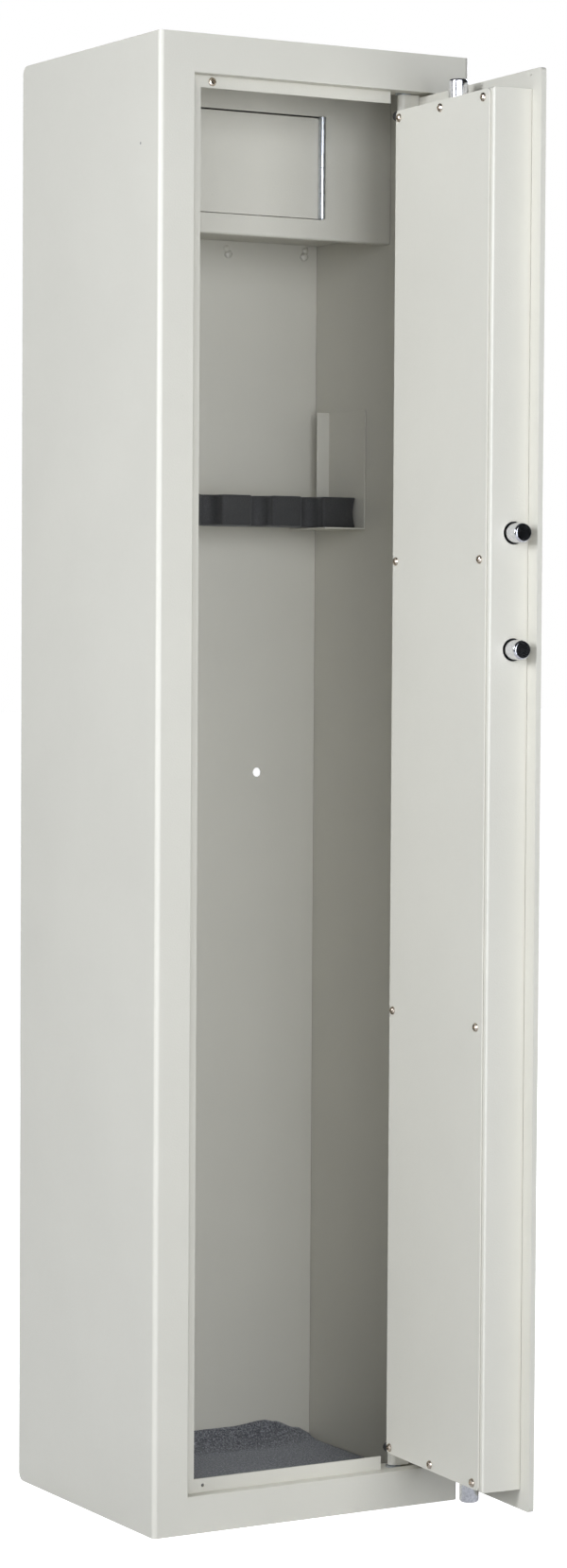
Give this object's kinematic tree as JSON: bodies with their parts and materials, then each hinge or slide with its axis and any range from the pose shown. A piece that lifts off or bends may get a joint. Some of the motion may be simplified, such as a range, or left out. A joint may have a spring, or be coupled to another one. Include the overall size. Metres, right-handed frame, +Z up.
{
  "type": "gun safe",
  "caption": "Tall narrow steel gun safe with its door open: boltwork in the door, foam barrel rest, lockable upper compartment and floor mat",
  "frame": {"origin": "centre of the cabinet's underside", "axes": "+Z up, +Y towards the back wall, +X to the right of someone facing the door opening (the hinge side)"},
  "size_m": [0.362, 0.5354, 1.5],
  "materials": {
    "cabinet_paint": "textured warm light-grey powder coat",
    "nickel": "warm bright nickel plate",
    "zinc_steel": "bright zinc plate",
    "chrome": "polished chrome",
    "bare_steel": "ground steel",
    "brass": "turned brass",
    "foam": "matt black moulded foam rubber",
    "felt": "grey needle felt",
    "black_rubber": "matt black rubber",
    "black_plastic": "moulded nylon"
  },
  "bodies": {
    "cabinet": {"body_front_sides": "cabinet_paint", "body_top_back_bottom": "cabinet_paint", "lip_screw": "nickel", "hinge_bracket_top": "cabinet_paint", "hinge_bracket_bottom": "cabinet_paint", "hinge_pin_top": "zinc_steel", "hinge_pin_bottom": "zinc_steel", "hinge_washer_top": "zinc_steel", "hinge_washer_bottom": "zinc_steel", "locker_front": "cabinet_paint", "locker_shelf": "cabinet_paint", "locker_hinge_leaf_fixed": "zinc_steel", "locker_hinge_pin": "zinc_steel", "rack_bracket_left": "cabinet_paint", "rack_bracket_right": "cabinet_paint", "rack_rail": "cabinet_paint", "barrel_rest": "foam", "floor_mat": "felt"},
    "door": {"door_plate": "cabinet_paint", "door_box": "cabinet_paint", "door_cover": "cabinet_paint", "cover_screw_01": "nickel", "cover_screw_02": "nickel", "cover_screw_03": "nickel", "cover_screw_04": "nickel", "cover_screw_05": "nickel", "cover_screw_06": "nickel", "cover_screw_07": "nickel", "cover_screw_08": "nickel", "cover_screw_09": "nickel", "cover_screw_10": "nickel", "hinge_strap_top": "cabinet_paint", "hinge_strap_bottom": "cabinet_paint", "door_bumper_top": "black_rubber", "door_bumper_bottom": "black_rubber", "spindle_bush": "brass", "handle_rose": "chrome", "lock_case": "zinc_steel", "key_escutcheon": "chrome", "rod_guide_top": "black_plastic", "rod_guide_bottom": "black_plastic", "side_bolt_guide": "zinc_steel"},
    "handle": {"handle_lever": "chrome", "handle_spindle": "bare_steel", "drive_cam": "zinc_steel"},
    "side_bolts": {"bolt_carrier": "zinc_steel", "side_bolt_upper": "chrome", "side_bolt_lower": "chrome"},
    "top_rod_body": {"top_rod": "zinc_steel", "top_bolt": "chrome"},
    "bottom_rod_body": {"bottom_rod": "zinc_steel", "bottom_bolt": "chrome"},
    "key_body": {"key": "nickel"},
    "lock_bolt_body": {"lock_bolt": "bare_steel"},
    "locker_door_body": {"locker_door": "cabinet_paint", "locker_hinge_leaf_moving": "zinc_steel", "locker_lock_housing": "chrome"},
    "locker_cam_body": {"locker_lock_plug": "chrome", "locker_lock_cam": "zinc_steel"}
  },
  "joints": [
    {"name": "door_hinge", "type": "hinge", "parent": "cabinet", "child": "door", "pos_m": [0.1181, -0.1245, 0.75], "axis": [0, 0, 1], "range_deg": [-86, 6]},
    {"name": "handle_turn", "type": "hinge", "parent": "door", "child": "handle", "pos_m": [0.13016, -0.26027, 0.94925], "axis": [-0.9976, 0.0698, 0], "range_deg": [-90, 0]},
    {"name": "side_bolt_slide", "type": "slide", "parent": "door", "child": "side_bolts", "axis": [-0.0698, -0.9976, 0], "range_m": [-0.0161, 0.0001]},
    {"name": "top_rod_slide", "type": "slide", "parent": "door", "child": "top_rod_body", "axis": [0, 0, 1], "range_m": [-0.0161, 0.0001]},
    {"name": "bottom_rod_slide", "type": "slide", "parent": "door", "child": "bottom_rod_body", "axis": [0, 0, -1], "range_m": [-0.0161, 0.0001]},
    {"name": "key_turn", "type": "hinge", "parent": "door", "child": "key_body", "pos_m": [0.13016, -0.26027, 1.072], "axis": [-0.9976, 0.0698, 0], "range_deg": [0, 180]},
    {"name": "lock_bolt_slide", "type": "slide", "parent": "door", "child": "lock_bolt_body", "axis": [0, 0, -1], "range_m": [-0.0001, 0.0101]},
    {"name": "locker_hinge", "type": "hinge", "parent": "cabinet", "child": "locker_door_body", "pos_m": [0.0917, -0.0066, 1.3987], "axis": [0, 0, 1], "range_deg": [0, 75]},
    {"name": "locker_cam_turn", "type": "hinge", "parent": "locker_door_body", "child": "locker_cam_body", "pos_m": [-0.0885, -0.003, 1.3961], "axis": [0, 1, 0], "range_deg": [0, 90]}
  ],
  "couplings": [
    {"joint": "side_bolt_slide", "follows": "handle_turn", "m_per_rad": 0.010186},
    {"joint": "top_rod_slide", "follows": "handle_turn", "m_per_rad": 0.010186},
    {"joint": "bottom_rod_slide", "follows": "handle_turn", "m_per_rad": 0.010186},
    {"joint": "lock_bolt_slide", "follows": "key_turn", "m_per_rad": 0.0031831}
  ]
}
